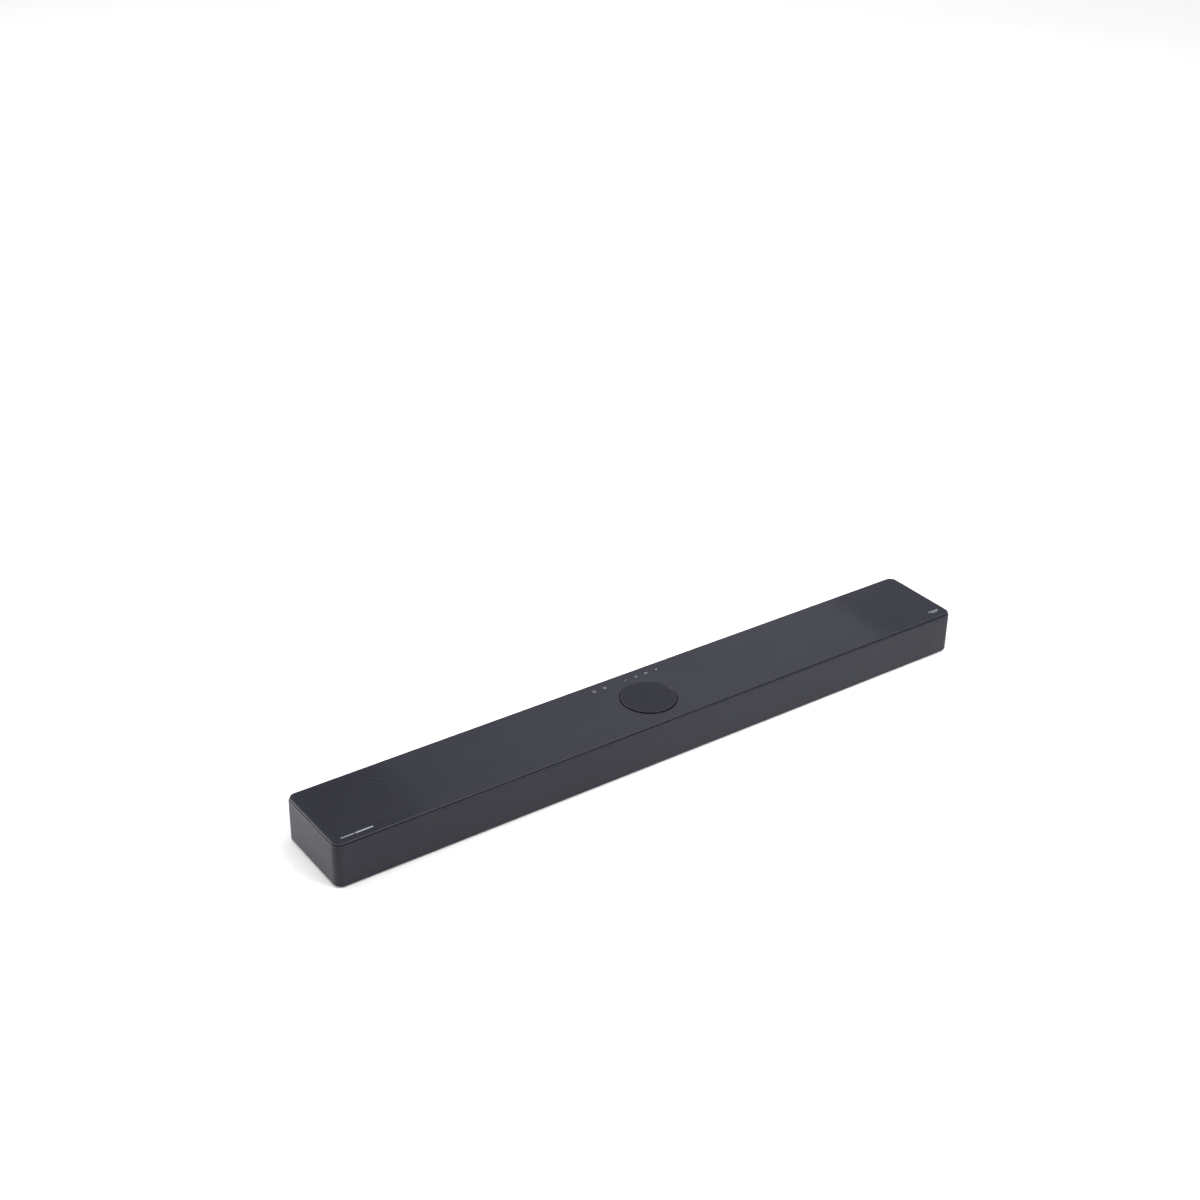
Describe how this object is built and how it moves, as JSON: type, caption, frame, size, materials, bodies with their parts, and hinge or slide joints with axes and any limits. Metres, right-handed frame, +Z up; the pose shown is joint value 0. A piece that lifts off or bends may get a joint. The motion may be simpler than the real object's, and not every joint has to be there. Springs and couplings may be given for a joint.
{
  "type": "soundbar",
  "caption": "Long low loudspeaker bar with a wrap-around fabric cover, flat top panel with touch marks and perforated ends, and a raised round centre speaker.",
  "frame": {"origin": "centre of the footprint, on the surface that the rubber feet stand on", "axes": "+X along the length to the listener's right, -Y out of the front, +Z up out of the top panel"},
  "size_m": [0.975, 0.125, 0.063],
  "materials": {
    "cover_fabric": "fine black acoustic knit stretched over a perforated metal skin",
    "panel_plastic": "fine satin texture, blue-grey black",
    "chassis_plastic": "matt black moulding",
    "disc_ring_gloss": "dark polished rim",
    "disc_mesh": "fine dark mesh",
    "print_grey": "pale grey print",
    "rubber": "matt black rubber",
    "inner_plastic": "matt black ABS",
    "board_green": "solder-masked fibreglass board",
    "socket_black": "moulded black",
    "socket_metal": "nickel-plated steel shell",
    "basket_steel": "black coated pressed steel",
    "magnet_steel": "zinc plated and ferrite grey",
    "surround_rubber": "soft half-roll surround",
    "cone_paper": "coated paper pulp",
    "screw_steel": "black-zinc steel",
    "insert_brass": "brass insert",
    "sink_aluminium": "extruded aluminium",
    "transformer_steel": "taped core and winding",
    "capacitor_sleeve": "shrink sleeve",
    "ribbon_film": "flat cable film",
    "window_smoke": "smoked lens",
    "harness_pvc": "black insulated leads"
  },
  "bodies": {
    "housing": {"amplifier_heat_sink": "sink_aluminium", "board_screws": "screw_steel", "bottom_chassis": "chassis_plastic", "centre_disc_grille": "disc_mesh", "centre_disc_ring": "disc_ring_gloss", "centre_up_basket": "basket_steel", "centre_up_magnet": "magnet_steel", "centre_up_surround": "surround_rubber", "chamber_dividers": "inner_plastic", "chassis_screws": "screw_steel", "display_board": "board_green", "display_window": "window_smoke", "driver_screws": "screw_steel", "front_baffle": "inner_plastic", "front_inner_left_basket": "basket_steel", "front_inner_left_magnet": "magnet_steel", "front_inner_left_surround": "surround_rubber", "front_inner_right_basket": "basket_steel", "front_inner_right_magnet": "magnet_steel", "front_inner_right_surround": "surround_rubber", "front_outer_left_basket": "basket_steel", "front_outer_left_magnet": "magnet_steel", "front_outer_left_surround": "surround_rubber", "front_outer_right_basket": "basket_steel", "front_outer_right_magnet": "magnet_steel", "front_outer_right_surround": "surround_rubber", "hdmi_sockets": "socket_metal", "left_up_basket": "basket_steel", "left_up_magnet": "magnet_steel", "left_up_surround": "surround_rubber", "main_board": "board_green", "optical_socket": "socket_black", "panel_marks": "print_grey", "power_capacitors": "capacitor_sleeve", "power_inlet": "socket_black", "power_supply_board": "board_green", "power_transformer": "transformer_steel", "rear_connector_pan": "chassis_plastic", "right_up_basket": "basket_steel", "right_up_magnet": "magnet_steel", "right_up_surround": "surround_rubber", "rubber_feet": "rubber", "speaker_harness": "harness_pvc", "top_deck": "inner_plastic", "top_panel": "panel_plastic", "touch_board": "board_green", "touch_icons": "print_grey", "touch_ribbon": "ribbon_film", "usb_socket": "socket_metal", "wall_mount_inserts": "insert_brass", "wireless_module": "board_green", "wrap_cover": "cover_fabric"},
    "front_outer_left_diaphragm": {"front_outer_left_cone": "cone_paper"},
    "front_inner_left_diaphragm": {"front_inner_left_cone": "cone_paper"},
    "front_inner_right_diaphragm": {"front_inner_right_cone": "cone_paper"},
    "front_outer_right_diaphragm": {"front_outer_right_cone": "cone_paper"},
    "left_up_diaphragm": {"left_up_cone": "cone_paper"},
    "centre_up_diaphragm": {"centre_up_cone": "cone_paper"},
    "right_up_diaphragm": {"right_up_cone": "cone_paper"}
  },
  "joints": [
    {"name": "front_outer_left_excursion", "type": "slide", "parent": "housing", "child": "front_outer_left_diaphragm", "axis": [0, -1, 0], "range_m": [-0.002, 0.002], "stiffness_N_per_m": 900, "deforming": ["front_outer_left_surround"]},
    {"name": "front_inner_left_excursion", "type": "slide", "parent": "housing", "child": "front_inner_left_diaphragm", "axis": [0, -1, 0], "range_m": [-0.002, 0.002], "stiffness_N_per_m": 900, "deforming": ["front_inner_left_surround"]},
    {"name": "front_inner_right_excursion", "type": "slide", "parent": "housing", "child": "front_inner_right_diaphragm", "axis": [0, -1, 0], "range_m": [-0.002, 0.002], "stiffness_N_per_m": 900, "deforming": ["front_inner_right_surround"]},
    {"name": "front_outer_right_excursion", "type": "slide", "parent": "housing", "child": "front_outer_right_diaphragm", "axis": [0, -1, 0], "range_m": [-0.002, 0.002], "stiffness_N_per_m": 900, "deforming": ["front_outer_right_surround"]},
    {"name": "left_up_excursion", "type": "slide", "parent": "housing", "child": "left_up_diaphragm", "axis": [0, 0, 1], "range_m": [-0.002, 0.002], "stiffness_N_per_m": 1200, "deforming": ["left_up_surround"]},
    {"name": "centre_up_excursion", "type": "slide", "parent": "housing", "child": "centre_up_diaphragm", "axis": [0, 0, 1], "range_m": [-0.002, 0.002], "stiffness_N_per_m": 1200, "deforming": ["centre_up_surround"]},
    {"name": "right_up_excursion", "type": "slide", "parent": "housing", "child": "right_up_diaphragm", "axis": [0, 0, 1], "range_m": [-0.002, 0.002], "stiffness_N_per_m": 1200, "deforming": ["right_up_surround"]}
  ]
}
